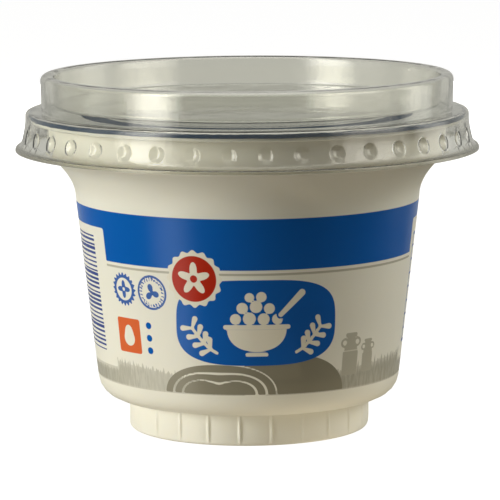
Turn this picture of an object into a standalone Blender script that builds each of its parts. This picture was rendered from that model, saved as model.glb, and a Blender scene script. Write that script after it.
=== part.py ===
"""A shut tub of cottage cheese: a moulded tub on a ribbed foot, a foil seal and a clear clip-on lid.

Run with: blender --background --python part.py
Metres, +Z up. The tub stands on z = 0, its axis is the Z axis and its front faces -Y.
"""

import math

import bmesh
import bpy

MM = 0.001
TURN = 2.0 * math.pi
SMOOTH_ANGLE = math.radians(32.0)

# Foot ring
FOOT_R = 26.05 * MM
FOOT_H = 6.65 * MM
FOOT_EDGE = 0.8 * MM
FOOT_RING_INNER_R = 22.5 * MM
FOOT_RECESS = 0.9 * MM
RIBS = 24
RIB_PROUD = 0.35 * MM
RIB_HALF_WIDTH = math.radians(1.0)
RIB_PHASE = math.radians(-4.3)
RIB_END = 0.45 * MM

# Wall of the tub, from the step above the foot to the rim
STEP_R = 27.4 * MM
STEP_Z = 7.05 * MM
CORNER_R = 5.2 * MM
CORNER_START_DEG = 5.0
CORNER_STEPS = 4
WALL_LOW_R = 32.8 * MM
WALL_TOP_R = 37.3 * MM
WALL_TOP_Z = 50.45 * MM
NECK_R = 43.1 * MM
NECK_Z = 59.95 * MM
FLARE_STEPS = 4
RIM_R = 46.6 * MM
RIM_THICKNESS = 1.0 * MM
TUB_H = 68.1 * MM

# Foil seal
GAP = 0.25 * MM
FOIL_THICKNESS = 0.25 * MM
FOIL_LIP_H = 1.0 * MM
FOIL_LIP_THICKNESS = 0.25 * MM
FOIL_EDGE = 0.2 * MM
FOIL_STEPS = 96

# Clear lid, heights measured from its lower edge
LID_BASE_Z = 60.85 * MM
LID_WALL = 0.5 * MM
LIP_R = 50.2 * MM
LIP_H = 0.7 * MM
LIP_INNER_R = 49.4 * MM
LIP_INNER_H = 0.9 * MM
SKIRT_LOW_R = 48.85 * MM
SKIRT_LOW_H = 1.7 * MM
SKIRT_TOP_R = 47.95 * MM
SHOULDER_H = 8.5 * MM
SHOULDER_EDGE = 0.8 * MM
RING_LOW_R = 44.5 * MM
RING_TOP_R = 44.65 * MM
RING_H = 16.3 * MM
RING_OUTER_EDGE = 1.2 * MM
RING_INNER_R = 41.75 * MM
RING_INNER_EDGE = 0.8 * MM
PANEL_R = 41.5 * MM
PANEL_H = 9.6 * MM
DIMPLES = 40
DIMPLE_H = 3.6 * MM
DIMPLE_R = 1.9 * MM
DIMPLE_DEPTH = 0.5 * MM


def clear_scene():
    """Removes the objects that a new file starts with."""
    for old in list(bpy.data.objects):
        bpy.data.objects.remove(old, do_unlink=True)


def finish(name, colour, roughness, metallic=0.0, alpha=1.0):
    """A Principled material from a linear colour."""
    material = bpy.data.materials.new(name)
    material.use_nodes = True
    shader = material.node_tree.nodes["Principled BSDF"]
    shader.inputs["Base Color"].default_value = (*colour, 1.0)
    shader.inputs["Roughness"].default_value = roughness
    shader.inputs["Metallic"].default_value = metallic
    shader.inputs["Alpha"].default_value = alpha
    return material


def fillet(centre_r, centre_h, radius, start_deg, end_deg, steps):
    """Points (radius, height) of a round stretch. Angles run from outward, 0, to upward, 90."""
    points = []
    for step in range(steps + 1):
        angle = math.radians(start_deg + (end_deg - start_deg) * step / steps)
        points.append((centre_r + radius * math.cos(angle), centre_h + radius * math.sin(angle)))
    return points


def turned(profile, steps):
    """A bmesh of the profile's (radius, height) points turned once round the Z axis, from the front."""
    bm = bmesh.new()
    verts = [bm.verts.new((0.0, -radius, height)) for radius, height in profile]
    edges = [bm.edges.new(pair) for pair in zip(verts[:-1], verts[1:])]
    bmesh.ops.spin(bm, geom=verts + edges, cent=(0.0, 0.0, 0.0), axis=(0.0, 0.0, 1.0),
                   angle=TURN, steps=steps, use_merge=True)
    bmesh.ops.remove_doubles(bm, verts=bm.verts, dist=0.01 * MM)
    bmesh.ops.recalc_face_normals(bm, faces=bm.faces)
    return bm


def press_marks(bm, count, columns, phase, half_width, height, reach, depth):
    """Gathers the turned columns round count evenly spaced marks and moves each mark's middle by depth.

    A mark has one column on each side, half_width away as an angle. Any more columns lie midway
    between two marks. Depth is outwards, and applies to the rows within reach of height.
    """
    pitch = TURN / count
    offsets = (-half_width, 0.0, half_width, pitch / 2.0)
    for vert in bm.verts:
        radius = math.hypot(vert.co.x, vert.co.y)
        column = round(math.atan2(vert.co.x, -vert.co.y) / pitch * columns)
        mark = (column + 1) // columns
        place = column - mark * columns
        angle = mark * pitch + offsets[place + 1] + phase
        if place == 0 and abs(vert.co.z - height) < reach:
            radius += depth
        vert.co.x = radius * math.sin(angle)
        vert.co.y = -radius * math.cos(angle)


def piece(name, bm, material, base_z=0.0, parent=None):
    """Makes the object of a bmesh, standing at base_z under its parent."""
    mesh = bpy.data.meshes.new(name)
    bm.to_mesh(mesh)
    bm.free()
    mesh.materials.append(material)
    mesh.shade_smooth()
    mesh.set_sharp_from_angle(angle=SMOOTH_ANGLE)
    obj = bpy.data.objects.new(name, mesh)
    obj.location.z = base_z
    obj.parent = parent
    bpy.context.scene.collection.objects.link(obj)
    return obj


def tub_profile():
    """The tub's outline from the middle of its shut top, down its outer side, to the middle of its base."""
    outline = [(0.0, TUB_H), (RIM_R, TUB_H), (RIM_R, TUB_H - RIM_THICKNESS), (NECK_R, TUB_H - RIM_THICKNESS)]
    for step in range(FLARE_STEPS, -1, -1):
        part = step / FLARE_STEPS
        radius = WALL_TOP_R + (NECK_R - WALL_TOP_R) * part ** 2
        outline.append((radius, WALL_TOP_Z + (NECK_Z - WALL_TOP_Z) * part))
    outline += fillet(WALL_LOW_R - CORNER_R, STEP_Z + CORNER_R, CORNER_R, CORNER_START_DEG, -90.0, CORNER_STEPS)
    outline += [(STEP_R, STEP_Z), (FOOT_R, FOOT_H)]
    outline += [(FOOT_R, FOOT_H - RIB_END), (FOOT_R, FOOT_EDGE + RIB_END)]
    outline += fillet(FOOT_R - FOOT_EDGE, FOOT_EDGE, FOOT_EDGE, 0.0, -90.0, 2)
    outline += [(FOOT_RING_INNER_R, 0.0), (FOOT_RING_INNER_R, FOOT_RECESS), (0.0, FOOT_RECESS)]
    return outline


def build_tub(parent):
    """The shut tub with its contents, one solid, with upright ribs round the foot."""
    bm = turned(tub_profile(), RIBS * 4)
    rib_z = (FOOT_H + FOOT_EDGE) / 2.0
    reach = FOOT_H - rib_z - RIB_END / 2.0
    press_marks(bm, RIBS, 4, RIB_PHASE, RIB_HALF_WIDTH, rib_z, reach, RIB_PROUD)
    return piece("tub", bm, finish("white plastic", (0.72, 0.68, 0.55), 0.42), parent=parent)


def build_foil_seal(parent):
    """The foil on the rim, with its edge turned down round it. Heights are from its flat underside."""
    lip_inner = RIM_R + GAP
    lip_outer = lip_inner + FOIL_LIP_THICKNESS
    lip_low = FOIL_THICKNESS - FOIL_LIP_H
    outline = [(0.0, FOIL_THICKNESS), (lip_outer - FOIL_EDGE, FOIL_THICKNESS)]
    outline += [(lip_outer, FOIL_THICKNESS - FOIL_EDGE), (lip_outer, lip_low), (lip_inner, lip_low)]
    outline += [(lip_inner, 0.0), (0.0, 0.0)]
    bm = turned(outline, FOIL_STEPS)
    return piece("foil_seal", bm, finish("foil", (0.55, 0.60, 0.66), 0.3, 1.0), TUB_H + GAP, parent)


def lid_profile():
    """The lid's outer skin, from the middle of its sunk panel out over the ring to the lip."""
    skin = [(0.0, PANEL_H), (PANEL_R, PANEL_H)]
    skin += [(RING_INNER_R, RING_H - RING_INNER_EDGE), (RING_INNER_R + RING_INNER_EDGE, RING_H)]
    skin += fillet(RING_TOP_R - RING_OUTER_EDGE, RING_H - RING_OUTER_EDGE, RING_OUTER_EDGE, 90.0, 0.0, 2)
    skin += [(RING_LOW_R, SHOULDER_H), (SKIRT_TOP_R - SHOULDER_EDGE, SHOULDER_H)]
    skin += [(SKIRT_TOP_R, SHOULDER_H - SHOULDER_EDGE)]
    for height in (DIMPLE_H + DIMPLE_R, DIMPLE_H, SKIRT_LOW_H):
        part = 1.0 - (height - SKIRT_LOW_H) / (SHOULDER_H - SHOULDER_EDGE - SKIRT_LOW_H)
        skin.append((SKIRT_TOP_R + (SKIRT_LOW_R - SKIRT_TOP_R) * part ** 2, height))
    skin += [(LIP_INNER_R, LIP_INNER_H), (LIP_R, LIP_H), (LIP_R, 0.0)]
    return skin


def build_lid(parent):
    """The thin clear lid: a turned skin with dimples pressed into its skirt, then given its wall."""
    bm = turned(lid_profile(), DIMPLES * 3)
    phase = TURN / DIMPLES / 2.0
    half_width = DIMPLE_R / SKIRT_LOW_R
    press_marks(bm, DIMPLES, 3, phase, half_width, DIMPLE_H, DIMPLE_R / 2.0, -DIMPLE_DEPTH)
    lid = piece("lid", bm, finish("clear plastic", (0.80, 0.82, 0.78), 0.06, alpha=0.3), LID_BASE_Z, parent)
    wall = lid.modifiers.new("Wall", "SOLIDIFY")
    wall.thickness = LID_WALL
    wall.offset = -1.0
    wall.use_even_offset = True
    return lid


def build_pot():
    """Builds every piece under one empty that stands at the middle of the base."""
    pot = bpy.data.objects.new("pot", None)
    bpy.context.scene.collection.objects.link(pot)
    build_tub(pot)
    build_foil_seal(pot)
    build_lid(pot)


clear_scene()
build_pot()
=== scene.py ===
"""Looks of a shut pot of cottage cheese: moulded tub, foil seal and clear lid, on a pale studio floor.

All the shapes are turned surfaces on a grid of (angle, path), worked out with numpy in millimetres.
The angle is 0 at the front, which faces -Y, and grows towards +X.
"""

import logging
import math
from dataclasses import dataclass, field
from enum import Enum
from functools import partial
from typing import Any, Callable, Sequence

import bpy
import numpy as np
from mathutils import Matrix


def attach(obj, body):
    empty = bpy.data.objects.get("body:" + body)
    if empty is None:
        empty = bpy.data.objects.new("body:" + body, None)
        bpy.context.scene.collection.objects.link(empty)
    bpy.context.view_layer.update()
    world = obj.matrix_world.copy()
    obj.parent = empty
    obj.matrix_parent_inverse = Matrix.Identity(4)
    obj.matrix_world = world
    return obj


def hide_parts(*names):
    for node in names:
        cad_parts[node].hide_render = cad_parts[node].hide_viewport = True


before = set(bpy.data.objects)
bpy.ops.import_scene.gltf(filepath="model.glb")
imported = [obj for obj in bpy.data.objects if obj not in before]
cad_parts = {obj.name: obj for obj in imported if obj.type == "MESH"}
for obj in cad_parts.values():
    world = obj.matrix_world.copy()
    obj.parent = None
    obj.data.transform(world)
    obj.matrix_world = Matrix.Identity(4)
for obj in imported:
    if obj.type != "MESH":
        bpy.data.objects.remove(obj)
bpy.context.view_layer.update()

Array = np.ndarray
Pair = tuple[float, float]
Socket = bpy.types.NodeSocket
Outputs = bpy.types.bpy_prop_collection
AddNode = Callable[..., Outputs]

MM = 0.001
ROOT = "root"
SHARP = math.radians(50.0)
INK_EDGE = 0.05
"""Half the width, in mm, over which a printed edge fades."""

log = logging.getLogger("pot")


class Slot(Enum):
    """The record's material slots."""

    TUB = "tub_plastic"
    FOIL = "seal_foil"
    LID = "lid_plastic"


class Ink(Enum):
    """The printed inks, in the order in which they are laid on the tub."""

    GRASS = "ink_grass"
    GREY = "ink_grey"
    HILL = "ink_hill"
    BLUE = "ink_blue"
    BADGE = "ink_badge"
    CREAM = "ink_cream"
    RED = "ink_red"
    ORANGE = "ink_orange"
    CODE = "ink_code"


def linear(code: str) -> tuple[float, float, float, float]:
    """Turns an sRGB hex colour into linear RGBA.

    Args:
        code: six hex digits, with or without a leading hash.

    Returns:
        Red, green, blue and an alpha of 1.
    """
    parts = np.array([int(code.lstrip("#")[i:i + 2], 16) for i in (0, 2, 4)]) / 255.0
    flat = np.where(parts <= 0.04045, parts / 12.92, ((parts + 0.055) / 1.055) ** 2.4)
    return (float(flat[0]), float(flat[1]), float(flat[2]), 1.0)


def add_node(tree: bpy.types.NodeTree, kind: str, settings: dict[Any, Any] | None = None,
             links: dict[Any, Socket] | None = None) -> Outputs:
    """Adds one node with its settings and links.

    Args:
        tree: the node tree that takes the node.
        kind: the node's type name, without the ShaderNode that it starts with.
        settings: values by the name or index of an input, or by the name of a property.
        links: output sockets by the name or index of the input that each one feeds.

    Returns:
        The new node's outputs.
    """
    node = tree.nodes.new(f"ShaderNode{kind}")
    for key, value in (settings or {}).items():
        if isinstance(key, int) or key in node.inputs:
            node.inputs[key].default_value = value
        else:
            setattr(node, key, value)
    for key, socket in (links or {}).items():
        tree.links.new(socket, node.inputs[key])
    return node.outputs


@dataclass(frozen=True)
class Corner:
    """A corner of a turned outline, in mm: radius, height and the radius of its rounding."""

    r: float
    z: float
    rounding: float = 0.0


def rounded(corners: Sequence[Corner], steps: int = 7) -> Array:
    """Joins corners by straight runs and rounds them off with arcs.

    At a corner that turns by t, an arc of radius q touches both runs at q * tan(t / 2) from it.

    Args:
        corners: the outline's corners in order.
        steps: the number of chords in each arc.

    Returns:
        Points (radius, height) in mm, one row each.
    """
    spots = np.array([(c.r, c.z) for c in corners])
    path = [spots[:1]]
    for before, here, after, corner in zip(spots[:-2], spots[1:-1], spots[2:], corners[1:-1]):
        if corner.rounding == 0.0:
            path.append(here[None, :])
            continue
        back = (before - here) / np.linalg.norm(before - here)
        ahead = (after - here) / np.linalg.norm(after - here)
        half = math.acos(float(np.clip(back @ ahead, -1.0, 1.0))) / 2.0
        bisector = (back + ahead) / np.linalg.norm(back + ahead)
        centre = here + bisector * corner.rounding / math.sin(half)
        first = here + back * corner.rounding / math.tan(half) - centre
        last = here + ahead * corner.rounding / math.tan(half) - centre
        turn = math.atan2(first[0] * last[1] - first[1] * last[0], float(first @ last))
        angles = np.linspace(0.0, turn, steps + 1)
        cos, sin = np.cos(angles), np.sin(angles)
        arc = np.stack([first[0] * cos - first[1] * sin, first[0] * sin + first[1] * cos], axis=1)
        path.append(centre + arc)
    path.append(spots[-1:])
    return np.concatenate(path)


def refined(path: Array, spacing: Callable[[Array], Array]) -> Array:
    """Splits each run of a path into equal parts no longer than the spacing at its middle.

    Args:
        path: points (radius, height) in mm.
        spacing: gives the spacing in mm at an array of points.

    Returns:
        The points of the finer path, which keeps all the old ones.
    """
    step = path[1:] - path[:-1]
    middle = (path[1:] + path[:-1]) / 2.0
    parts = np.maximum(1, np.ceil(np.hypot(step[:, 0], step[:, 1]) / spacing(middle))).astype(int)
    run = np.repeat(np.arange(len(step)), parts)
    place = np.arange(parts.sum()) - np.repeat(np.cumsum(parts) - parts, parts)
    share = (place / np.repeat(parts, parts))[:, None]
    return np.concatenate([path[run] + step[run] * share, path[-1:]])


def offset_inwards(path: Array, wall: float) -> Array:
    """Moves a path to its right-hand side, which is the inside of a skin that runs from the axis outwards.

    Each point moves by the wall at right angles to the path's direction there.

    Args:
        path: points (radius, height) in mm.
        wall: the distance in mm.

    Returns:
        The moved points, none of them beyond the axis.
    """
    ahead = np.gradient(path, axis=0)
    ahead /= np.hypot(ahead[:, 0], ahead[:, 1])[:, None]
    moved = path + wall * np.stack([ahead[:, 1], -ahead[:, 0]], axis=1)
    moved[:, 0] = np.maximum(moved[:, 0], 0.0)
    return moved


def turned_points(radius: Array, height: Array, angle: Array) -> Array:
    """Places a grid round the Z axis: x = r sin(a), y = -r cos(a), z = h, from mm to metres."""
    return np.stack([radius * np.sin(angle), -radius * np.cos(angle), height + 0.0 * angle], axis=-1) * MM


def turned_mesh(name: str, points: Array, fields: dict[str, Array],
                material: bpy.types.Material) -> bpy.types.Object:
    """Makes the closed mesh of a grid that is turned once round the Z axis.

    Row 0 and the last row lie on the axis, so each of them becomes one vertex with a fan of triangles.
    Between them each cell is a quad, with the last column joined to the first.

    Args:
        name: the object's name.
        points: positions in metres, by row, column and axis.
        fields: numbers for each row and column, kept as attributes of those names.
        material: what the piece is made of.

    Returns:
        The object, at the origin.
    """
    rows, columns = points.shape[:2]
    inner = rows - 2
    verts = np.concatenate([points[0, :1], points[1:-1].reshape(-1, 3), points[-1, :1]])
    here = np.arange(columns)
    after = (here + 1) % columns
    ring = 1 + np.arange(inner - 1)[:, None] * columns
    quads = np.stack([ring + here, ring + columns + here, ring + columns + after, ring + after], axis=-1)
    quads = quads.reshape(-1, 4)
    low = 1 + (inner - 1) * columns
    first_fan = np.stack([np.zeros(columns, int), 1 + here, 1 + after], axis=-1)
    last_fan = np.stack([np.full(columns, len(verts) - 1), low + after, low + here], axis=-1)
    loops = np.concatenate([quads.ravel(), first_fan.ravel(), last_fan.ravel()])
    sizes = np.concatenate([np.full(len(quads), 4), np.full(2 * columns, 3)])

    mesh = bpy.data.meshes.new(name)
    mesh.vertices.add(len(verts))
    mesh.vertices.foreach_set("co", verts.astype(np.float32).ravel())
    mesh.loops.add(len(loops))
    mesh.loops.foreach_set("vertex_index", loops.astype(np.int32))
    mesh.polygons.add(len(sizes))
    mesh.polygons.foreach_set("loop_start", (np.cumsum(sizes) - sizes).astype(np.int32))
    mesh.update(calc_edges=True)
    mesh.validate()
    for key, values in fields.items():
        flat = np.concatenate([values[0, :1], values[1:-1].ravel(), values[-1, :1]])
        mesh.attributes.new(key, "FLOAT", "POINT").data.foreach_set("value", flat.astype(np.float32))
    mesh.materials.append(material)
    mesh.shade_smooth()
    mesh.set_sharp_from_angle(angle=SHARP)
    obj = bpy.data.objects.new(name, mesh)
    bpy.context.scene.collection.objects.link(obj)
    return obj


def report(obj: bpy.types.Object) -> None:
    """Logs a piece's name, its triangles and its size."""
    triangles = len(obj.data.loops) - 2 * len(obj.data.polygons)
    log.info("%s: %d triangles, %s mm", obj.name, triangles, [round(side / MM, 1) for side in obj.dimensions])


def ripples(angle: Array, waves: Sequence[int], seed: int) -> Array:
    """Sums sines of whole waves round the turn, with seeded phases and heights, to about -1 to 1.

    Args:
        angle: angles in radians.
        waves: how many waves each sine has in a turn.
        seed: what the random draws start from.

    Returns:
        A number for each angle.
    """
    draw = np.random.default_rng(seed)
    phase = draw.uniform(0.0, math.tau, len(waves))
    weight = draw.uniform(0.4, 1.0, len(waves))
    total = (weight[:, None] * np.sin(np.array(waves)[:, None] * angle[None, :] + phase[:, None])).sum(axis=0)
    return total / math.sqrt(float((weight ** 2).sum()) * 2.0)


def disc(x: Array, y: Array, cx: float, cy: float, radius: float) -> Array:
    """Depth inside a disc: its radius less the distance from its middle."""
    return radius - np.hypot(x - cx, y - cy)


def bar(x: Array, y: Array, start: Sequence[float], end: Sequence[float],
        radius: float, end_radius: float | None = None) -> Array:
    """Depth inside a round-ended bar between two points: the radius there less the distance to the line.

    Args:
        x: places across, in mm.
        y: places up, in mm.
        start: the first end.
        end: the other end.
        radius: half the bar's width at its start.
        end_radius: half its width at its end, if it tapers.

    Returns:
        The depth in mm, positive inside.
    """
    dx, dy = end[0] - start[0], end[1] - start[1]
    share = np.clip(((x - start[0]) * dx + (y - start[1]) * dy) / (dx * dx + dy * dy), 0.0, 1.0)
    width = radius + ((end_radius if end_radius is not None else radius) - radius) * share
    return width - np.hypot(x - start[0] - share * dx, y - start[1] - share * dy)


def block(x: Array, y: Array, cx: float, cy: float, half_x: float, half_y: float,
          corner: float = 0.0) -> Array:
    """Depth inside an upright rectangle with rounded corners, in mm.

    Args:
        x: places across.
        y: places up.
        cx: its middle across.
        cy: its middle up.
        half_x: half its width.
        half_y: half its height.
        corner: the radius of its corners.

    Returns:
        The depth, positive inside.
    """
    over_x = np.abs(x - cx) - half_x + corner
    over_y = np.abs(y - cy) - half_y + corner
    outside = np.hypot(np.maximum(over_x, 0.0), np.maximum(over_y, 0.0))
    return corner - outside - np.minimum(np.maximum(over_x, over_y), 0.0)


def rounded_plaque(x: Array, y: Array, half_x: float, half_y: float, power: float) -> Array:
    """Depth inside |x/a|^n + |y/b|^n = 1, measured along the line to its middle.

    Args:
        x: places across from its middle, in mm.
        y: places up from its middle, in mm.
        half_x: half its width, a.
        half_y: half its height, b.
        power: how square it is, n.

    Returns:
        The depth in mm, positive inside.
    """
    level = (np.abs(x / half_x) ** power + np.abs(y / half_y) ** power) ** (1.0 / power)
    level = np.maximum(level, 1e-3)
    return np.hypot(x, y) * (1.0 - level) / level


def union(*fields_in: Array) -> Array:
    """Joins shapes: the greatest depth."""
    return np.maximum.reduce(fields_in)


@dataclass
class PrintLayout:
    """The generic print on the tub: a blue band, a plaque with a bowl of curds, hills, grass and churns.

    Each ink is a field on the wall's grid: how deep a place lies inside that ink's shapes, in mm.
    Places are an arc along the wall and a height. A motif has its own middle, from which its x and y are
    measured in mm, and the numbers in its method are the places and radii of its parts.
    """

    printed: Pair = (11.0, 51.0)
    """The heights between which there is print."""
    held: Pair = (-1.0, 2.0)
    """The depths between which every field is held."""
    band: Pair = (39.15, 50.05)
    line: Pair = (38.0, 38.5)
    panel_top: float = 46.1
    panel_low: float = 16.0
    panel_corner: float = 0.5
    strip_low: float = 12.2
    plaques: tuple[float, ...] = (3.0, -157.0)
    """Angles of the plaque at the front and of its twin at the back."""
    plaque_z: float = 27.9
    plaque_half: Pair = (17.4, 9.2)
    plaque_power: float = 3.2
    hills: tuple[tuple[float, float, float, float], ...] = ((-8.0, 12.0, 6.6, 2.3), (6.5, 13.0, 8.6, 2.2))
    """The near and the far hill: place beside the plaque's middle, half width, height and power."""
    furrows: Pair = (1.9, 4.0)
    """Depths inside the near hill at which its furrows run."""
    furrow_half: float = 0.27
    curds: tuple[tuple[float, float, float], ...] = (
        (-4.5, 1.75, 1.15), (-1.6, 1.85, 1.35), (1.4, 1.75, 1.25), (4.3, 1.7, 1.15), (-3.1, 4.1, 1.2),
        (-0.2, 4.4, 1.3), (2.6, 4.0, 1.15), (-1.6, 6.4, 1.0), (0.9, 6.5, 1.1))
    """Each curd's place above the middle of the bowl's rim, and its radius."""
    seal_turn: float = -21.5
    """The rosette's angle from the plaque's."""
    seal_z: float = 37.2
    seal_radius: float = 5.9
    badge_angles: Pair = (-48.0, -35.0)
    badge_z: float = 33.6
    square_angle: float = -47.5
    square_z: float = 23.6
    dots_angle: float = -37.5
    churn_angle: float = 44.0
    churn_z: float = 19.6
    small_churn: float = 0.78
    """The low churn's size as a share of the tall one's."""
    code_edge: float = -56.6
    code_far: float = -104.0
    table_edge: float = 75.0
    table_far: float = 150.0
    table_rows: float = 8.0
    grass_angle: float = 2.5
    """Where, in degrees, the two strips of grass meet at their lowest."""
    grass_rise: float = 4.6
    grass_reach: float = 11.0
    """How fast, in mm along the wall, the grass grows to its height."""
    blade_waves: tuple[int, ...] = (151, 223, 307, 389)
    blade_height: float = 0.55
    grass_seed: int = 7
    mist_angle: float = 36.0
    """How far to the left of the front, in degrees, the grass is palest."""
    mist_reach: float = 17.0
    mist_depth: float = 0.8

    def draw(self, radius: Array, height: Array, angle: Array) -> dict[str, Array]:
        """Works out every ink's field.

        Args:
            radius: the wall's radius by row, in mm, as a column.
            height: the height by row, in mm, as a column.
            angle: the angle by column, in radians, as a row, from -pi to pi.

        Returns:
            The fields by the attribute's name.
        """
        self._radius, self._angle, self._z = radius, angle, height + 0.0 * angle
        panels = union(self._panel(self.code_far, self.code_edge),
                       self._panel(self.table_edge, self.table_far, 0.4))
        band, line = (np.minimum(self._between(*heights), -panels) for heights in (self.band, self.line))
        plaque, hill, cream, red = (union(*layer) for layer in zip(*map(self._front, self.plaques)))
        orange, rings, dots = self._badges()
        layers = {
            Ink.GRASS: np.minimum(self._grass(), -panels),
            Ink.GREY: union(self._churns(), line),
            Ink.HILL: hill,
            Ink.BLUE: union(band, plaque, dots, self._table_rules()),
            Ink.BADGE: rings,
            Ink.CREAM: cream,
            Ink.RED: red,
            Ink.ORANGE: orange,
            Ink.CODE: self._bars(),
        }
        bare = self._between(*self.printed) < 0.0
        outside, deepest = self.held
        return {ink.value: np.where(bare, outside, np.clip(layer, outside, deepest))
                for ink, layer in layers.items()}

    def _between(self, low: float, high: float) -> Array:
        """A field all round the wall between two heights."""
        return (high - low) / 2.0 - np.abs(self._z - (high + low) / 2.0)

    def _local(self, angle_deg: float, z: float) -> tuple[Array, Array]:
        """Arc and height in mm from a point on the wall that is given by its angle and height."""
        turn = (self._angle - math.radians(angle_deg) + math.pi) % math.tau - math.pi
        return self._radius * turn, self._z - z

    def _polar(self, angle_deg: float, z: float) -> tuple[Array, Array]:
        """Distance in mm and direction in radians from such a point."""
        x, y = self._local(angle_deg, z)
        return np.hypot(x, y), np.arctan2(y, x)

    def _span(self, start_deg: float, end_deg: float, low: float, high: float, corner: float = 0.0) -> Array:
        """A rectangle on the wall between two angles and two heights.

        Args:
            start_deg: its left side.
            end_deg: its right side.
            low: its lower side.
            high: its upper side.
            corner: the radius of its corners.

        Returns:
            Its field.
        """
        x, y = self._local((start_deg + end_deg) / 2.0, (low + high) / 2.0)
        half_x = self._radius * math.radians(end_deg - start_deg) / 2.0
        return block(x, y, 0.0, 0.0, half_x, (high - low) / 2.0, corner)

    def _panel(self, start_deg: float, end_deg: float, taller: float = 0.0) -> Array:
        """A cream panel between two angles, which is left free of the band and the grass."""
        return self._span(start_deg, end_deg, self.panel_low, self.panel_top + taller, self.panel_corner)

    def _bars(self) -> Array:
        """The block in which the material draws the code's bars."""
        low, high = self.panel_low + 3.0, self.panel_top - 1.6
        return self._span(self.code_far + 3.0, self.code_edge - 7.5, low, high)

    def _table_rules(self) -> Array:
        """A plain ruled table: a frame, a column line and evenly spaced rows.

        Returns:
            Its field.
        """
        start, end = self.table_edge + 4.0, self.table_far - 5.0
        low, high = self.panel_low + 3.0, self.panel_top - 3.0
        inside = self._span(start, end, low, high)
        pitch = (high - low) / self.table_rows
        rows = 0.22 - np.abs((self._z - low + pitch / 2.0) % pitch - pitch / 2.0)
        split, _ = self._local(start + (end - start) * 0.66, 0.0)
        column = 0.3 - np.abs(split)
        return union(0.3 - np.abs(inside - 0.3), np.minimum(union(rows, column), inside))

    def _front(self, angle_deg: float) -> tuple[Array, Array, Array, Array]:
        """Draws one front: the plaque with its motif, two hills below it and the rosette.

        Args:
            angle_deg: where the plaque's middle is.

        Returns:
            The fields of the plaque, the hills, the cream shapes and the red shapes.
        """
        x, y = self._local(angle_deg, self.plaque_z)
        plaque = rounded_plaque(x, y, *self.plaque_half, self.plaque_power)
        level = y + self.plaque_z - self.strip_low
        near, far = (rounded_plaque(x - at, level, half, tall, power) for at, half, tall, power in self.hills)
        furrows = self.furrow_half - np.minimum.reduce([np.abs(near - depth) for depth in self.furrows])
        hills = union(np.minimum(near, -furrows), np.minimum(far, -near - 0.35))
        hills = np.minimum(hills, level - 0.2)
        rosette, red = self._rosette(angle_deg + self.seal_turn)
        return plaque, hills, union(np.minimum(self._bowl_of_curds(angle_deg), plaque), rosette), red

    def _bowl_of_curds(self, angle_deg: float) -> Array:
        """A bowl heaped with curds, a spoon in it and a leafy sprig on each side.

        Args:
            angle_deg: where the plaque's middle is.

        Returns:
            Their field.
        """
        x, y = self._local(angle_deg, self.plaque_z - 0.9)
        bowl = np.minimum(rounded_plaque(x, y, 6.3, 5.2, 2.3), -0.75 - y)
        rim = bar(x, y, (-6.6, 0.0), (6.6, 0.0), 0.5)
        foot = block(x, y, 0.0, -5.9, 2.4, 0.4, 0.3)
        curds = union(*[disc(x, y, cx, cy, r) for cx, cy, r in self.curds])
        spoon = bar(x, y, (5.0, 2.6), (9.6, 7.2), 0.5, 0.75)
        curds = np.minimum(curds, -spoon - 0.4)
        return union(bowl, rim, foot, curds, spoon, self._sprig(x, y, -1.0), self._sprig(x, y, 1.0))

    @staticmethod
    def _sprig(x: Array, y: Array, side: float) -> Array:
        """A stem that curves up and outwards, with leaves in pairs along it.

        Args:
            x: places across.
            y: places up.
            side: 1 to the right and -1 to the left.

        Returns:
            Its field.
        """
        leaf, lean_out = 2.1, 0.95
        share = np.linspace(0.0, 1.0, 5)
        stem = np.stack([side * (8.4 + 5.4 * share), -5.6 + 5.2 * share ** 1.4], axis=1)
        parts = []
        for start, joint in zip(stem[:-1], stem[1:]):
            parts.append(bar(x, y, start, joint, 0.33))
            lean = math.atan2(joint[1] - start[1], joint[0] - start[0])
            for turn in (lean + lean_out, lean - lean_out):
                tip = joint + leaf * np.array([math.cos(turn), math.sin(turn)])
                parts.append(bar(x, y, joint, tip, 0.25, 0.62))
        return union(*parts)

    def _rosette(self, angle_deg: float) -> tuple[Array, Array]:
        """A scalloped cream rosette with a red middle, out of which a five-petalled flower is left.

        Args:
            angle_deg: where its middle is.

        Returns:
            The cream field and the red field.
        """
        out, turn = self._polar(angle_deg, self.seal_z)
        rosette = self.seal_radius + 0.3 * np.cos(16.0 * turn) - out
        flower = np.minimum(2.5 + 1.1 * np.cos(5.0 * turn - math.pi / 2.0) - out, out - 0.8)
        return rosette, np.minimum(self.seal_radius - 1.0 - out, -flower)

    def _badges(self) -> tuple[Array, Array, Array]:
        """Draws the small motifs beside the plaque.

        Returns:
            The fields of the square with its drop, of the two toothed badges and of the three dots.
        """
        x, y = self._local(self.square_angle, self.square_z)
        turn = np.arctan2(y + 0.6, x)
        drop = 1.65 * (1.0 + 0.75 * np.maximum(np.sin(turn), 0.0) ** 5) - np.hypot(x, y + 0.6)
        square = np.minimum(block(x, y, 0.0, 0.0, 3.5, 3.75, 0.5), -drop)
        out, turn = self._polar(self.badge_angles[0], self.badge_z)
        teeth = np.minimum(3.35 + 0.35 * np.cos(20.0 * turn) - out, out - 2.45)
        petals = np.minimum(1.35 + 0.6 * np.cos(4.0 * turn) - out, out - 0.4)
        out, turn = self._polar(self.badge_angles[1], self.badge_z)
        ring = 0.24 - np.abs(out - 3.5)
        ticks = np.minimum(0.3 - np.abs(out - 2.75), 0.35 + np.cos(26.0 * turn))
        leaves = 1.9 * np.abs(np.cos(turn * 1.5 + 0.4)) - out
        x, y = self._local(self.dots_angle, self.square_z)
        dots = union(*[disc(x, y, 0.0, at, 0.75) for at in (-2.7, 0.0, 2.7)])
        return square, union(teeth, petals, ring, ticks, leaves), dots

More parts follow.
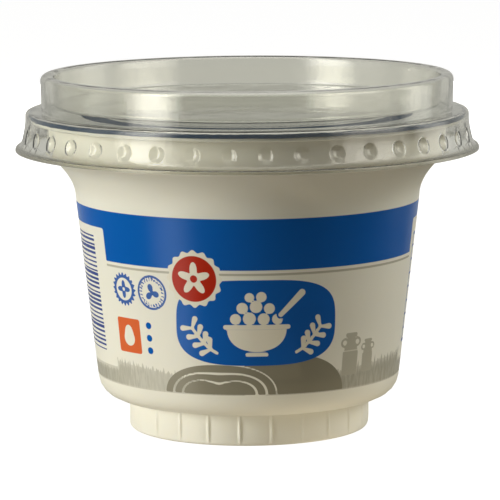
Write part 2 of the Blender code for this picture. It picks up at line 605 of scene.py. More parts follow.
    def _grass(self) -> Array:
        """Two strips of grass that rise from a point at the front towards the sides, with ragged blades.

        Returns:
            Their field.
        """
        away = np.abs(self._angle - math.radians(self.grass_angle)) * self._radius
        rise = self.grass_rise * (1.0 - np.exp(-np.maximum(away - 2.0, 0.0) / self.grass_reach)) + 0.03 * away
        draw = np.random.default_rng(self.grass_seed)
        blades = np.zeros_like(self._angle)
        for waves in self.blade_waves:
            height, phase = draw.uniform(0.5, 1.0), draw.uniform(0.0, math.tau)
            blades = blades + height * np.sin(waves * self._angle + phase)
        ragged = self.blade_height * np.maximum(blades, -0.4) * np.clip(away / 9.0 - 0.6, 0.0, 1.0)
        top = self.strip_low + rise + ragged
        mist = np.exp(-((np.degrees(self._angle) + self.mist_angle) / self.mist_reach) ** 2)
        inside = np.minimum((top - self._z) * 0.7, (self._z - self.strip_low) * 3.0)
        return np.minimum(inside, 1.2 - self.mist_depth * mist)

    def _churns(self) -> Array:
        """A tall and a low milk churn that stand in the grass.

        Returns:
            Their field.
        """
        x, y = self._local(self.churn_angle, self.churn_z)
        size = self.small_churn
        return union(self._churn(x + 2.6, y), size * self._churn((x - 2.6) / size, (y + 0.8) / size))

    @staticmethod
    def _churn(x: Array, y: Array) -> Array:
        """A churn: a body below a pale hoop, a shoulder, a neck with a ring on each side, and a cap.

        Args:
            x: places across.
            y: places up.

        Returns:
            Its field.
        """
        hoop, hoop_half = 1.0, 0.16
        body = np.minimum(block(x, y, 0.0, -1.4, 2.1, 2.9, 0.5), hoop - hoop_half - y)
        shoulder = np.minimum(bar(x, y, (0.0, 0.9), (0.0, 2.9), 2.05, 1.1), np.abs(y - hoop) - hoop_half)
        neck = block(x, y, 0.0, 3.5, 1.1, 0.7)
        cap = block(x, y, 0.0, 4.4, 1.6, 0.42, 0.35)
        rings = 0.24 - np.abs(np.hypot(np.abs(x) - 1.75, y - 2.75) - 0.8)
        return union(body, shoulder, neck, cap, rings)


class Finish:
    """What the finishes share: a surface worked out from Object coordinates and the mesh's attributes."""

    name: str

    def surface(self, add: AddNode, place: Socket) -> Socket:
        """The shader of the finish, which each finish gives itself."""
        raise NotImplementedError

    def make(self) -> bpy.types.Material:
        """Builds the material.

        Returns:
            A material that has the finish's surface and nothing else.
        """
        material = bpy.data.materials.new(self.name)
        material.use_nodes = True
        material.node_tree.nodes.clear()
        add = partial(add_node, material.node_tree)
        add("OutputMaterial", None, {"Surface": self.surface(add, add("TexCoord")["Object"])})
        return material


@dataclass(frozen=True)
class MouldedPolypropylene(Finish):
    """Injection-moulded polypropylene, cream white and satin, offset printed with glossy inks.

    Moulding gives a closed, faintly rippled skin. The ink fills that skin, so it shines a little more.
    """

    name: str = "moulded_polypropylene"
    base: str = "E9E8DC"
    inks: tuple[tuple[Ink, str], ...] = (
        (Ink.GRASS, "A2A092"), (Ink.GREY, "B9B7A8"), (Ink.HILL, "8C8877"), (Ink.BLUE, "005BB1"),
        (Ink.BADGE, "4065AC"), (Ink.CREAM, "E9E5D5"), (Ink.RED, "B02408"), (Ink.ORANGE, "D96839"),
        (Ink.CODE, "33478C"))
    roughness: float = 0.34
    ink_roughness: float = 0.24
    code_pitch: float = 0.95
    """Distance in mm between the middles of two bars of the code, whose widths vary."""
    ripple_size: float = 9.0
    """Distance in mm between the swells that cooling leaves in the thin wall."""
    grain_size: float = 0.6
    """Distance in mm between the grains of the mould's skin, drawn as coarse as they need to show."""
    blade_size: Pair = (0.5, 4.0)
    """Width and length in mm of the streaks in the grass."""

    def surface(self, add: AddNode, place: Socket) -> Socket:
        """Lays the inks over the plastic.

        Args:
            add: adds a node to the material.
            place: Object coordinates.

        Returns:
            A shader that shows each ink where its field on the mesh is positive.
        """
        shade: dict[int, Socket] = {}
        covered: dict[int, Socket] = {}
        for ink, code in self.inks:
            mask = self._mask(add, ink, place)
            colours = {"data_type": "RGBA", 6: linear(self.base), 7: linear(code)}
            shade = {6: add("Mix", colours, {0: mask, **shade})[2]}
            covered = {0: add("Math", {"operation": "MAXIMUM", 0: 0.0}, {1: mask, **covered})[0]}
        rough = add("MapRange", {"To Min": self.roughness, "To Max": self.ink_roughness},
                    {"Value": covered[0]})
        swell = add("TexNoise", {"Scale": 1.0 / (self.ripple_size * MM), "Detail": 1.0}, {"Vector": place})
        grain = add("TexNoise", {"Scale": 1.0 / (self.grain_size * MM), "Detail": 2.0}, {"Vector": place})
        wide = add("Bump", {"Strength": 0.22, "Distance": 0.35 * MM}, {"Height": swell[0]})
        bump = add("Bump", {"Strength": 0.10, "Distance": 0.03 * MM},
                   {"Height": grain[0], "Normal": wide[0]})
        shader = add("BsdfPrincipled",
                     {"IOR": 1.49, "Specular IOR Level": 0.24, "Subsurface Weight": 0.12,
                      "Subsurface Radius": (2.0, 1.7, 1.2), "Subsurface Scale": 0.8 * MM},
                     {"Base Color": shade[6], "Roughness": rough[0], "Normal": bump[0]})
        return shader[0]

    def _mask(self, add: AddNode, ink: Ink, place: Socket) -> Socket:
        """Turns an ink's field into a mask, which is misty for the grass and cut into bars for the code.

        Args:
            add: adds a node to the material.
            ink: the ink.
            place: Object coordinates.

        Returns:
            How much of the ink lies at a place.
        """
        depth = add("Attribute", {"attribute_name": ink.value})["Fac"]
        mask = add("MapRange", {"From Min": -INK_EDGE, "From Max": INK_EDGE}, {"Value": depth})[0]
        if ink is Ink.GRASS:
            share = self._misty(add, depth, place)
        elif ink is Ink.CODE:
            share = self._barred(add, place)
        else:
            return mask
        return add("Math", {"operation": "MULTIPLY"}, {0: mask, 1: share})[0]

    def _misty(self, add: AddNode, depth: Socket, place: Socket) -> Socket:
        """The grass's strength: it grows with the depth inside the strip, and upright streaks vary it.

        Args:
            add: adds a node to the material.
            depth: the grass's field.
            place: Object coordinates.

        Returns:
            The strength, up to 1.
        """
        across, along = (1.0 / (size * MM) for size in self.blade_size)
        streaks = add("Mapping", {"Scale": (across, across, along)}, {"Vector": place})
        blades = add("TexNoise", {"Scale": 1.0, "Detail": 2.0}, {"Vector": streaks[0]})
        rough = add("MapRange", {"From Min": 0.35, "From Max": 0.65, "To Min": 0.8, "To Max": 1.0},
                    {"Value": blades[0]})
        misty = add("MapRange", {"From Min": -0.2, "From Max": 1.3, "To Min": 0.42}, {"Value": depth})
        return add("Math", {"operation": "MULTIPLY"}, {0: misty[0], 1: rough[0]})[0]

    def _barred(self, add: AddNode, place: Socket) -> Socket:
        """One inside the code's bars, whose widths are random, and nought between them.

        Args:
            add: adds a node to the material.
            place: Object coordinates.

        Returns:
            1 or 0.
        """
        height = add("SeparateXYZ", None, {0: place})["Z"]
        cell = add("Math", {"operation": "DIVIDE", 1: self.code_pitch * MM}, {0: height})[0]
        whole = add("Math", {"operation": "FLOOR"}, {0: cell})[0]
        part = add("Math", {"operation": "FRACT"}, {0: cell})[0]
        chance = add("TexWhiteNoise", {"noise_dimensions": "1D"}, {"W": whole})["Value"]
        width = add("MapRange", {"To Min": 0.3, "To Max": 0.8}, {"Value": chance})[0]
        return add("Math", {"operation": "LESS_THAN"}, {0: part, 1: width})[0]


@dataclass(frozen=True)
class LacqueredFoil(Finish):
    """Rolled aluminium foil under clear lacquer, heat-sealed to the rim, with a matt blue border printed on.

    Rolling makes it bright, and sealing and folding leave fine creases that glitter. The ink has no gloss.
    """

    name: str = "lacquered_aluminium_foil"
    metal: str = "D6D8D6"
    border: str = "04304F"
    roughness: float = 0.24
    crease_size: float = 2.2
    """Distance in mm between two creases."""
    ink_metallic: float = 0.05

    def surface(self, add: AddNode, place: Socket) -> Socket:
        """Bare metal, and blue where the border's field is positive.

        Args:
            add: adds a node to the material.
            place: Object coordinates.

        Returns:
            The shader.
        """
        depth = add("Attribute", {"attribute_name": "border"})["Fac"]
        mask = add("MapRange", {"From Min": -INK_EDGE, "From Max": INK_EDGE}, {"Value": depth})[0]
        shade = add("Mix", {"data_type": "RGBA", 6: linear(self.metal), 7: linear(self.border)}, {0: mask})
        creases = add("TexNoise", {"Scale": 1.0 / (self.crease_size * MM), "Detail": 3.0, "Distortion": 0.8},
                      {"Vector": place})
        bump = add("Bump", {"Strength": 0.7, "Distance": 0.2 * MM}, {"Height": creases[0]})
        bare = add("MapRange", {"To Min": 1.0, "To Max": self.ink_metallic}, {"Value": mask})
        shader = add("BsdfPrincipled", {"Roughness": self.roughness, "Specular IOR Level": 0.0},
                     {"Base Color": shade[2], "Metallic": bare[0], "Normal": bump[0]})
        return shader[0]


@dataclass(frozen=True)
class ThermoformedPet(Finish):
    """Clear PET sheet, vacuum formed over a mould: glossy, faintly grey-green and softly rippled.

    Lamps and bounced light pass it straight, as they do a sheet of a third of a millimetre.
    """

    name: str = "thermoformed_clear_pet"
    tint: str = "FCFCF8"
    shade: str = "FCFCFA"
    """The share of the light that the sheet passes straight into its shadow."""
    ior: float = 1.57
    roughness: float = 0.05
    edge_roughness: float = 0.24
    # On the lip, whose cut edge is scuffed. The lip also passes less light into its shadow, and its tint is
    # painted shade.
    """On the lip, whose cut edge is scuffed and passes less light."""
    # Painted shade: the lip's glass is tinted darker so that the lip and the neck seen through it show the
    # shade under the lip.
    lip_painted_shade_tint: str = "D6D4C6"
    edge_shade: str = "C4C2B6"
    ripple_size: float = 7.0

    def surface(self, add: AddNode, place: Socket) -> Socket:
        """Glass to the eye, and a pale clear pane to shadow and diffuse rays.

        Args:
            add: adds a node to the material.
            place: Object coordinates.

        Returns:
            The shader.
        """
        swell = add("TexNoise", {"Scale": 1.0 / (self.ripple_size * MM), "Detail": 2.0}, {"Vector": place})
        bump = add("Bump", {"Strength": 0.25, "Distance": 0.3 * MM}, {"Height": swell[0]})
        edge = add("Attribute", {"attribute_name": "cut_edge"})["Fac"]
        rough = add("MapRange", {"To Min": self.roughness, "To Max": self.edge_roughness}, {"Value": edge})
        # The clear tint, which on the lip turns into the painted shade.
        tint = add("Mix", {"data_type": "RGBA", 6: linear(self.tint), 7: linear(self.lip_painted_shade_tint)}, {0: edge})
        glass = add("BsdfPrincipled", {"Transmission Weight": 1.0, "IOR": self.ior},
                    {"Base Color": tint[2], "Normal": bump[0], "Roughness": rough[0]})
        shade = add("Mix", {"data_type": "RGBA", 6: linear(self.shade), 7: linear(self.edge_shade)},
                    {0: edge})
        pane = add("BsdfTransparent", None, {"Color": shade[2]})
        rays = add("LightPath")
        unseen = add("Math", {"operation": "MAXIMUM"}, {0: rays["Is Shadow Ray"], 1: rays["Is Diffuse Ray"]})
        return add("MixShader", None, {0: unseen[0], 1: glass[0], 2: pane[0]})[0]


@dataclass
class MouldedTub:
    """The tub, in mm: a tapered wall between a flared neck and a ribbed foot, shut by its filling."""

    name: str = "moulded_tub"
    height: float = 68.1
    rim_r: float = 46.6
    rim_thickness: float = 1.0
    neck_r: float = 43.1
    neck_z: float = 59.95
    wall_top: Pair = (37.3, 50.45)
    wall_low_r: float = 32.8
    corner: float = 5.2
    step: Pair = (27.4, 7.05)
    foot_r: float = 26.05
    foot_h: float = 6.65
    foot_edge: float = 0.8
    foot_inner_r: float = 22.5
    recess: float = 0.9
    ribs: int = 24
    rib_phase: float = math.radians(-4.3)
    rib_proud: float = 0.32
    rib_half: float = 0.5
    row_pitches: tuple[float, float, float, float] = (0.36, 0.8, 1.7, 9.0)
    """Row spacing on the motifs, on the band above them, on the plain wall and across the top and base."""
    flatness: float = 0.6
    """How much of the chord's depth the foot loses between two ribs."""
    layout: PrintLayout = field(default_factory=PrintLayout)
    finish: MouldedPolypropylene = field(default_factory=MouldedPolypropylene)

    def outline(self) -> Array:
        """The tub's outline from the middle of its top, down its outer side, to the middle of its base.

        Returns:
            Points (radius, height) in mm.
        """
        share = np.linspace(1.0, 0.0, 9)
        flare = [Corner(float(self.wall_top[0] + (self.neck_r - self.wall_top[0]) * t ** 2),
                        float(self.wall_top[1] + (self.neck_z - self.wall_top[1]) * t)) for t in share]
        low_z = self.step[1] + self.corner
        path = rounded([
            Corner(0.0, self.height), Corner(self.rim_r, self.height, 0.3),
            Corner(self.rim_r, self.height - self.rim_thickness, 0.3),
            Corner(self.neck_r, self.height - self.rim_thickness, 0.5), *flare,
            Corner(self.wall_low_r + 0.1, low_z),
            Corner(self.wall_low_r - 0.55, self.step[1] + 0.1, self.corner - 0.4),
            Corner(*self.step), Corner(self.foot_r, self.foot_h, 0.25),
            Corner(self.foot_r, 0.0, self.foot_edge), Corner(self.foot_inner_r, 0.0, 0.3),
            Corner(self.foot_inner_r, self.recess, 0.3), Corner(0.0, self.recess)], steps=5)
        return refined(path, self._spacing)

    def _spacing(self, middle: Array) -> Array:
        """Row spacing: fine where the print has motifs, coarser above them and under the lid.

        Args:
            middle: the middles of the outline's runs, in mm.

        Returns:
            The spacing in mm at each of them.
        """
        r, z = middle[:, 0], middle[:, 1]
        motifs, band, plain, flat = self.row_pitches
        wall = np.where((z > 11.5) & (z < 44.0), motifs, np.where((z > 44.0) & (z < 51.0), band, plain))
        level = (z > self.height - 0.1) | (z < self.recess + 0.1)
        return np.where(level & (r < self.neck_r - 1.0), flat, wall)

    def columns(self) -> Array:
        """Angles from -pi to pi, close together across the front and widest across the code's panel."""
        runs = ((-180.0, -127.0, 0.82), (-127.0, -60.0, 1.2), (-60.0, 57.0, 0.47), (57.0, 179.6, 0.82))
        return np.radians(np.concatenate([np.arange(start, end, pitch) for start, end, pitch in runs]))

    def shape(self, path: Array, angle: Array) -> Array:
        """The wall's radius over the grid: the outline's, flattened between ribs and raised on them.

        Between two ribs the foot's radius falls by part of the chord's depth, r (1 - cos(a)).
        A rib adds its height times cos^2 across its width.

        Args:
            path: points (radius, height) in mm.
            angle: angles in radians.

        Returns:
            Radii in mm by row and column.
        """
        radius = path[:, :1] + 0.0 * angle
        z = path[:, 1:]
        pitch = math.tau / self.ribs
        from_rib = (angle - self.rib_phase + pitch / 2.0) % pitch - pitch / 2.0
        on_foot = np.clip((z - 0.5) / 0.8, 0.0, 1.0) * np.clip((self.foot_h - 0.1 - z) / 0.4, 0.0, 1.0)
        on_foot = on_foot * (path[:, :1] > self.foot_r - 0.6)
        between = 1.0 - np.cos(pitch / 2.0 - np.abs(from_rib))
        flat = self.foot_r * self.flatness * between
        across = np.clip(np.abs(from_rib) * self.foot_r / self.rib_half, 0.0, 1.0)
        rib = self.rib_proud * np.cos(across * math.pi / 2.0) ** 2
        return radius + on_foot * (rib - flat)

    def build(self) -> bpy.types.Object:
        """Builds the tub, puts it under the root body and hides the imported tub that it stands for.

        Returns:
            The finished piece.
        """
        path, angle = self.outline(), self.columns()
        points = turned_points(self.shape(path, angle), path[:, 1:], angle[None, :])
        fields = self.layout.draw(path[:, :1], path[:, 1:], angle[None, :])
        obj = turned_mesh(self.name, points, fields, self.finish.make())
        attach(obj, ROOT)
        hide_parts("tub")
        return obj


@dataclass
class FoilSeal:
    """The foil on the rim, in mm: sunk a little, turned down round the rim and creased by the sealing."""

    name: str = "foil_lidding"
    middle_z: float = 68.45
    top_z: float = 68.8
    rim_inner_r: float = 45.0
    lip_r: float = 47.1
    lip_low: float = 67.95
    thickness: float = 0.12
    fold: float = 0.25
    border: Pair = (31.6, 36.0)
    """Radii between which the wide blue ring is printed."""
    line_at: float = 29.4
    line_half: float = 0.3
    crease_from: float = 34.0
    crease_reach: float = 12.0
    """The ripples grow from the one radius, over this distance, towards the rim."""
    ripple_height: float = 0.06
    most_proud: float = 0.12
    """How far above the rim's foil a ripple may rise."""
    pleat_waves: range = range(31, 140, 7)
    buckle_waves: range = range(5, 40, 3)
    row_pitch: float = 0.5
    """Distance between two rows where there is print."""
    plain_pitch: float = 4.0
    columns: int = 720
    finish: LacqueredFoil = field(default_factory=LacqueredFoil)

    def skin(self) -> Array:
        """The upper side, from the middle up over the rim's edge and down to the lip's lower end.

        Returns:
            Points (radius, height) in mm.
        """
        plain = self.line_at - 1.0
        skin = rounded([
            Corner(0.0, self.middle_z), Corner(plain, self.middle_z),
            Corner(self.rim_inner_r - 1.0, self.middle_z, 0.8), Corner(self.rim_inner_r, self.top_z, 0.5),
            Corner(self.lip_r, self.top_z, self.fold), Corner(self.lip_r, self.lip_low)])
        return refined(skin, lambda middle: np.where(middle[:, 0] < plain, self.plain_pitch, self.row_pitch))

    def print_border(self, skin: Array) -> Array:
        """The blue print's field at each point of the skin: the wide ring, the thin line and the whole lip.

        A place is measured by the distance that the foil covers from its middle, as on the flat sheet.

        Args:
            skin: points (radius, height) in mm.

        Returns:
            How deep in mm each point lies inside the print.
        """
        run = np.concatenate([[0.0], np.cumsum(np.hypot(*np.diff(skin, axis=0).T))])
        ring = np.minimum(run - self.border[0], self.border[1] - run)
        line = self.line_half - np.abs(run - self.line_at)
        return union(ring, line, run - (self.lip_r - 2.0 * self.fold))

    def build(self) -> bpy.types.Object:
        """Builds the foil, puts it under the root body and hides the imported seal that it stands for.

        The skin's height gains ripples that grow towards the rim, and its radius gains pleats on the lip.

        Returns:
            The finished piece.
        """
        skin = self.skin()
        path = np.concatenate([skin, offset_inwards(skin, self.thickness)[::-1]])
        flat_border = self.print_border(skin)
        border = np.concatenate([flat_border, flat_border[::-1]])[:, None]
        angle = np.linspace(-math.pi, math.pi, self.columns, endpoint=False)
        pleats = ripples(angle, self.pleat_waves, seed=3)
        buckle = ripples(angle, self.buckle_waves, seed=5)
        near_rim = np.clip((path[:, :1] - self.crease_from) / self.crease_reach, 0.0, 1.0)
        on_lip = np.clip((self.top_z - path[:, 1:]) / 0.6, 0.0, 1.0) * (path[:, :1] > self.lip_r - 1.0)
        relief = self.ripple_height * (buckle + pleats)
        height = path[:, 1:] + near_rim * (1.0 - on_lip) * relief + on_lip * 0.10 * buckle
        height = np.minimum(height, self.top_z + self.most_proud)
        radius = path[:, :1] + on_lip * (0.08 * pleats + 0.05 * buckle)
        points = turned_points(radius, height, angle[None, :])
        obj = turned_mesh(self.name, points, {"border": border + 0.0 * angle}, self.finish.make())
        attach(obj, ROOT)
        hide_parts("foil_seal")
        return obj


@dataclass
class ClearLid:
    """The clear lid, in mm: a sunk panel, a stacking ring, a shoulder and a dimpled skirt with a lip."""

    name: str = "clear_lid"
    wall: float = 0.36
    panel: Pair = (41.5, 70.75)
    ring_inner_r: float = 41.8
    ring_top_z: float = 77.15
    ring_top_r: float = 44.68
    ring_low_r: float = 44.5
    shoulder_z: float = 69.35
    skirt_top_r: float = 47.95
    skirt_top_z: float = 68.45
    skirt_low: Pair = (48.85, 62.55)
    lip_hollow: Pair = (49.45, 61.8)
    lip: Pair = (50.2, 61.55)
    lip_low: float = 60.85
    edge_bow: float = 0.06
    """How far the cut edge bows down below the lip's outer side."""
    dimples: int = 40
    dimple_z: float = 64.45
    dimple_r: float = 1.75
    dimple_depth: float = 0.68
    dimple_brow: float = 1.08
    """The ring of edges just outside a dimple, as a share of its radius. It keeps the brow crisp."""
    row_pitches: tuple[float, float, float] = (0.26, 1.8, 6.0)
    """Row spacing over the dimples, on the plain walls and across the panel."""
    press_whole: float = 1.1
    """The share of the radius up to which a place moves whole with the dimple's edge, before that fades."""
    press_fade: float = 0.3
    finish: ThermoformedPet = field(default_factory=ThermoformedPet)

    def skin(self) -> Array:
        """The outer skin from the middle of the panel, out over the ring, to the lip's lower edge.

        Returns:
            Points (radius, height) in mm.
        """
        above = self.dimple_z + self.dimple_r
        heights = np.concatenate([[self.skirt_top_z - 1.0, above + (self.dimple_brow - 1.0) * self.dimple_r],
                                  np.linspace(above, self.dimple_z - self.dimple_r, 5), [self.skirt_low[1]]])
        skirt = [Corner(float(r), float(z)) for r, z in zip(self._flare(heights), heights)]
        path = rounded([
            Corner(0.0, self.panel[1]), Corner(*self.panel, 0.4),
            Corner(self.ring_inner_r, self.ring_top_z, 0.8), Corner(self.ring_top_r, self.ring_top_z, 1.25),
            Corner(self.ring_low_r, self.shoulder_z, 0.25),
            Corner(self.skirt_top_r, self.shoulder_z, 0.85), *skirt,
            Corner(*self.lip_hollow, 0.8), Corner(*self.lip, 0.55),
            Corner(self.lip[0], self.lip_low)], steps=6)
        return refined(path, self._spacing)

    def _flare(self, z: Array) -> Array:
        """The skirt's radius at a height: it grows with the square of the share of the drop below its top."""
        share = np.clip((self.skirt_top_z - z) / (self.skirt_top_z - self.skirt_low[1]), 0.0, 1.0)
        return self.skirt_top_r + (self.skirt_low[0] - self.skirt_top_r) * share ** 2

    def _spacing(self, middle: Array) -> Array:
        """Row spacing: fine over the dimples, wide on the straight walls and widest over the panel.

        Args:
            middle: the middles of the outline's runs, in mm.

        Returns:
            The spacing in mm at each of them.
        """
        dimpled = (middle[:, 0] > 47.5) & (np.abs(middle[:, 1] - self.dimple_z) < self.dimple_r)
        fine, plain, panel = self.row_pitches
        return np.where(middle[:, 0] < 40.0, panel, np.where(dimpled, fine, plain))

    def columns(self) -> Array:
        """Angles with columns close together across each dimple, on its brow, and a few between dimples.

        Returns:
            The angles in radians, all round the lid.
        """
        pitch = math.tau / self.dimples
        reach = self.dimple_r / self.skirt_top_r
        brow = reach * self.dimple_brow
        one = np.concatenate([np.linspace(-reach, reach, 11), np.linspace(brow, pitch - brow, 3)])
        middle = (np.arange(self.dimples) + 0.5) * pitch - math.pi
        return (middle[:, None] + one[None, :]).ravel()

    def press(self, path: Array, angle: Array) -> tuple[Array, Array, Array]:
        """Presses the dimples into the grid.

        In shares of a dimple's radius a place is (u, v) from its middle. The square |u|, |v| <= 1 is drawn
        into the disc by (u sqrt(1 - v^2 / 2), v sqrt(1 - u^2 / 2)), so its edges lie on the dimple's rim.
        Just outside the square the move stays whole, and then it fades out.
        A place that moves up or down keeps to the flare of the skirt.
        The disc is then pressed in by d (1 - q^2), q being the share of the radius from its middle.

        Args:
            path: points (radius, height) in mm.
            angle: angles in radians.

        Returns:
            Radii, heights and angles over the grid.
        """
        pitch = math.tau / self.dimples
        u = (angle[None, :] % pitch - pitch / 2.0) * self.skirt_top_r / self.dimple_r + 0.0 * path[:, :1]
        v = (path[:, 1:] - self.dimple_z) / self.dimple_r + 0.0 * u
        beyond = np.maximum(np.maximum(np.abs(u), np.abs(v)), 1.0)
        fade = np.clip(1.0 - (beyond - self.press_whole) / self.press_fade, 0.0, 1.0)
        fade = fade * (path[:, :1] > self.skirt_top_r - 1.0)
        edge_u, edge_v = u / beyond, v / beyond
        move_u = (edge_u * np.sqrt(1.0 - edge_v ** 2 / 2.0) - edge_u) * fade
        move_v = (edge_v * np.sqrt(1.0 - edge_u ** 2 / 2.0) - edge_v) * fade
        share = np.hypot(u + move_u, v + move_v)
        depth = self.dimple_depth * np.clip(1.0 - share ** 2, 0.0, 1.0) * (fade > 0.0)
        turn = angle[None, :] + move_u * self.dimple_r / self.skirt_top_r
        height = path[:, 1:] + move_v * self.dimple_r
        radius = path[:, :1] + self._flare(height) - self._flare(path[:, 1:]) - depth
        return radius, height, turn

    def build(self) -> bpy.types.Object:
        """Builds the lid, puts it under the root body and hides the imported lid that it stands for.

        Returns:
            The finished piece.
        """
        skin = self.skin()
        end = np.array([[self.lip[0] - self.wall / 2.0, self.lip_low - self.edge_bow]])
        path = np.concatenate([skin, end, offset_inwards(skin, self.wall)[::-1]])
        angle = self.columns()
        points = turned_points(*self.press(path, angle))
        edge = np.clip((self.skirt_low[1] - 0.4 - path[:, 1:]) / 0.5, 0.0, 1.0) + 0.0 * angle
        obj = turned_mesh(self.name, points, {"cut_edge": edge}, self.finish.make())
        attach(obj, ROOT)
        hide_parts("lid")
        return obj


class SeenBy(Enum):
    """Which surfaces a studio light works on."""

    MATT = "matt"
    GLOSS = "gloss"


@dataclass(frozen=True)
class StudioLight:
    """An area light that stands upright and faces the pot's axis, or lies flat over or under the pot.

    A matt light only lights matt surfaces. A gloss light is a card that only gloss and clear sheet show.
    """

    name: str
    seen_by: SeenBy
    azimuth: float
    """Degrees from the front towards +X."""
    distance: float
    """From the pot's axis to the light's middle, in m."""
    low: float
    high: float
    """Heights of its edges, in m. They are the same for a light that lies flat."""
    width: float
    radiance: float
    colour: str = "FFFDF5"
    layers: int = 1
    """How many lights share the radiance, one behind another and each one smaller, so that the edges fade."""
    layer_gap: float = 0.004
    faces_up: bool = False

    def build(self) -> None:
        """Places the layers, each with the energy that gives its radiance: radiance * pi * area."""
        flat = self.low == self.high
        tall = self.width if flat else self.high - self.low
        tip = (180.0 if self.faces_up else 0.0) if flat else 90.0
        place = (Matrix.Rotation(math.radians(self.azimuth), 4, "Z")
                 @ Matrix.Translation((0.0, -self.distance, (self.low + self.high) / 2.0))
                 @ Matrix.Rotation(math.radians(tip), 4, "X"))
        for layer in range(self.layers):
            trim = self.width * layer / (self.layers + 1)
            data = bpy.data.lights.new(f"{self.name}_{layer}", "AREA")
            data.shape = "RECTANGLE"
            data.size, data.size_y = self.width - trim, tall - trim
            data.energy = self.radiance / self.layers * math.pi * data.size * data.size_y
            data.color = linear(self.colour)[:3]
            lamp = bpy.data.objects.new(data.name, data)
            lamp.matrix_world = place @ Matrix.Translation((0.0, 0.0, self.layer_gap * layer))
            lamp.visible_camera = False
            lamp.visible_diffuse = self.seen_by is SeenBy.MATT
            lamp.visible_glossy = self.seen_by is SeenBy.GLOSS
            lamp.visible_transmission = self.seen_by is SeenBy.GLOSS
            bpy.context.scene.collection.objects.link(lamp)


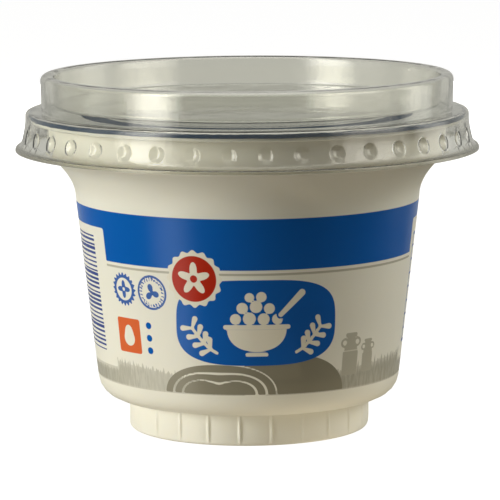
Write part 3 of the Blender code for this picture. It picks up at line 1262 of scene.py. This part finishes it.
@dataclass
class Studio:
    """The plain floor, the soft studio light and the camera, which aren't part of the pot."""

    camera_place: tuple[float, float, float] = (0.45, -747.6, 145.05)
    camera_pitch: float = 8.12
    camera_roll: float = 0.35
    focal_pixels: float = 3466.0
    image_width: float = 500.0
    sensor: float = 36.0
    floor_half: float = 3.0
    floor_tint: str = "8C8C8C"
    floor_glow: float = 0.93
    """What the floor emits, so that it shows plain white."""
    room_tint: str = "FCFBF2"
    unlit_tint: str = "202020"
    """What matt surfaces get from the room, which is little beside the lamps."""
    wall_light: float = 0.53
    """Radiance of the room's pale walls, which gloss and clear sheet show."""
    front_share: float = 0.8
    """The share of it that is left on the camera's side of the room."""
    front_at: Pair = (-0.95, -0.7)
    """How far a direction points to that side where the share ends and where the rest begins."""
    dusk_light: float = 0.10
    """Radiance of the dark table edge and the room below it."""
    dusk_at: Pair = (-0.24, -0.15)
    """Sines of the elevations between which the one turns into the other."""
    lights: tuple[StudioLight, ...] = (
        StudioLight("key_soft", SeenBy.MATT, -72.0, 0.8, -0.01, 0.34, 0.35, 15.4),
        StudioLight("fill_soft", SeenBy.MATT, 75.0, 0.72, 0.22, 0.57, 0.35, 3.2),
        StudioLight("edge_soft", SeenBy.MATT, 114.0, 0.7, 0.22, 0.57, 0.35, 6.6),
        StudioLight("back_soft", SeenBy.MATT, 180.0, 0.8, 0.0, 0.35, 0.35, 8.0),
        StudioLight("floor_glow", SeenBy.MATT, 30.0, 0.04, -0.001, -0.001, 0.19, 0.47, "FFF0D4",
                    faces_up=True),
        StudioLight("foot_glow", SeenBy.MATT, 42.0, 0.055, -0.001, -0.001, 0.06, 0.3, "FFF0D4",
                    faces_up=True),
        StudioLight("key_card", SeenBy.GLOSS, -53.0, 0.8, -0.95, 1.15, 0.46, 3.0, "FFFCF3", layers=4),
        StudioLight("left_card", SeenBy.GLOSS, -80.0, 0.8, -0.1, 0.95, 0.5, 0.45, layers=4),
        StudioLight("left_brow_card", SeenBy.GLOSS, -53.0, 0.78, 0.08, 0.62, 0.5, 1.4, layers=3),
        StudioLight("right_card", SeenBy.GLOSS, 66.0, 0.8, -0.1, 0.95, 0.68, 1.5, "FFF9EC", layers=4),
        StudioLight("right_brow_card", SeenBy.GLOSS, 66.0, 0.78, 0.1, 0.62, 0.6, 1.1, layers=3),
        StudioLight("edge_card", SeenBy.GLOSS, 108.0, 0.8, -0.15, 0.6, 0.45, 1.1, layers=3),
        StudioLight("high_card", SeenBy.GLOSS, 0.0, 0.5, 0.75, 1.1, 1.8, 2.2, layers=2),
        StudioLight("top_card", SeenBy.GLOSS, 0.0, 0.0, 0.9, 0.9, 0.9, 0.8, layers=3),
    )

    def build(self) -> None:
        """Sets up the floor, the light and the camera."""
        self._floor()
        self._world()
        for light in self.lights:
            light.build()
        self._camera()
        bpy.context.scene.view_settings.view_transform = "Standard"

    def _floor(self) -> None:
        """A wide matt white floor, level with the foot, that only the camera sees."""
        half = self.floor_half
        mesh = bpy.data.meshes.new("studio_floor")
        mesh.from_pydata([(-half, -half, 0.0), (half, -half, 0.0), (half, half, 0.0), (-half, half, 0.0)],
                         [], [(0, 1, 2, 3)])
        floor = bpy.data.objects.new("studio_floor", mesh)
        bpy.context.scene.collection.objects.link(floor)
        for rays in ("diffuse", "glossy", "transmission", "shadow"):
            setattr(floor, f"visible_{rays}", False)
        material = bpy.data.materials.new("matt_white_paint")
        material.use_nodes = True
        shader = material.node_tree.nodes["Principled BSDF"]
        shader.inputs["Base Color"].default_value = linear(self.floor_tint)
        shader.inputs["Roughness"].default_value = 0.9
        shader.inputs["Emission Color"].default_value = linear("FFFFFF")
        shader.inputs["Emission Strength"].default_value = self.floor_glow
        mesh.materials.append(material)

    def _world(self) -> None:
        """A room that only gloss and clear sheet see, and plain white behind everything for the camera.

        The room is pale above the table's edge and dark below it. The lamps light the matt surfaces.
        """
        world = bpy.data.worlds.new("studio")
        bpy.context.scene.world = world
        world.use_nodes = True
        world.node_tree.nodes.clear()
        add = partial(add_node, world.node_tree)
        sides = add("SeparateXYZ", None, {0: add("TexCoord")["Generated"]})
        front = add("MapRange", {"From Min": self.front_at[0], "From Max": self.front_at[1],
                                 "To Min": self.wall_light * self.front_share, "To Max": self.wall_light},
                    {"Value": sides["Y"]})
        level = add("MapRange", {"From Min": self.dusk_at[0], "From Max": self.dusk_at[1],
                                 "To Min": self.dusk_light},
                    {"Value": sides["Z"], "To Max": front[0]})
        room = add("Background", {"Color": linear(self.room_tint)}, {"Strength": level[0]})
        dark = add("Background", {"Color": linear(self.unlit_tint)})
        white = add("Background", {"Color": linear("FFFFFF")})
        rays = add("LightPath")
        unlit = add("MixShader", None, {0: rays["Is Diffuse Ray"], 1: room[0], 2: dark[0]})
        mix = add("MixShader", None, {0: rays["Is Camera Ray"], 1: unlit[0], 2: white[0]})
        add("OutputWorld", None, {"Surface": mix[0]})

    def _camera(self) -> None:
        """The camera where the picture was taken from, pitched down at the pot and rolled a little."""
        data = bpy.data.cameras.new("camera")
        data.sensor_width = self.sensor
        data.lens = self.sensor * self.focal_pixels / self.image_width
        camera = bpy.data.objects.new("camera", data)
        place = Matrix.Translation([side * MM for side in self.camera_place])
        pitch = Matrix.Rotation(math.radians(90.0 - self.camera_pitch), 4, "X")
        roll = Matrix.Rotation(math.radians(-self.camera_roll), 4, "Z")
        camera.matrix_world = place @ pitch @ roll
        bpy.context.scene.collection.objects.link(camera)
        bpy.context.scene.camera = camera


def main() -> None:
    """Builds the pot's pieces in order, then the studio round them."""
    logging.basicConfig(level=logging.INFO, format="%(name)s: %(message)s")
    for part in (MouldedTub(), FoilSeal(), ClearLid()):
        report(part.build())
    Studio().build()


if __name__ == "__main__":
    main()
